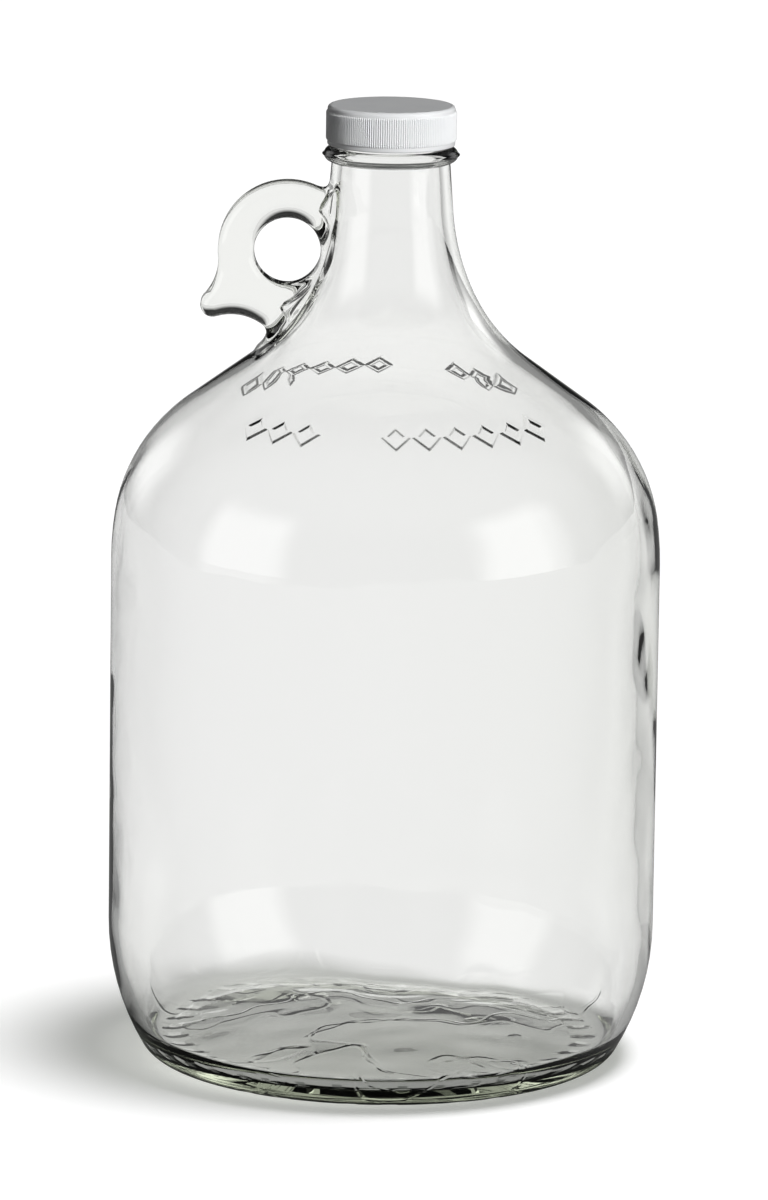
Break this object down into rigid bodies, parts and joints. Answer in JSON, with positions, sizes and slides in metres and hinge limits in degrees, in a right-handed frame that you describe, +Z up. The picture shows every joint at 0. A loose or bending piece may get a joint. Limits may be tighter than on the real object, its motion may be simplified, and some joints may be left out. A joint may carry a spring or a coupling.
{
  "type": "glass gallon jug with a screw cap",
  "caption": "Clear glass jug with round shoulders, a slim neck with a finger ring and thumb spur on one side, and a ribbed white screw cap.",
  "frame": {"origin": "centre of the base, on the surface that the jug stands on", "axes": "+Z up along the jug's axis through the neck and cap; the finger ring is on the -X side, in the X-Z plane"},
  "size_m": [0.167, 0.167, 0.293],
  "materials": {
    "glass": "clear flint glass with a faint grey-green tint where it is thick",
    "cap_plastic": "white moulded plastic, satin, finely ribbed"
  },
  "bodies": {
    "root": {"jug": "glass", "cap": "cap_plastic"}
  },
  "joints": []
}
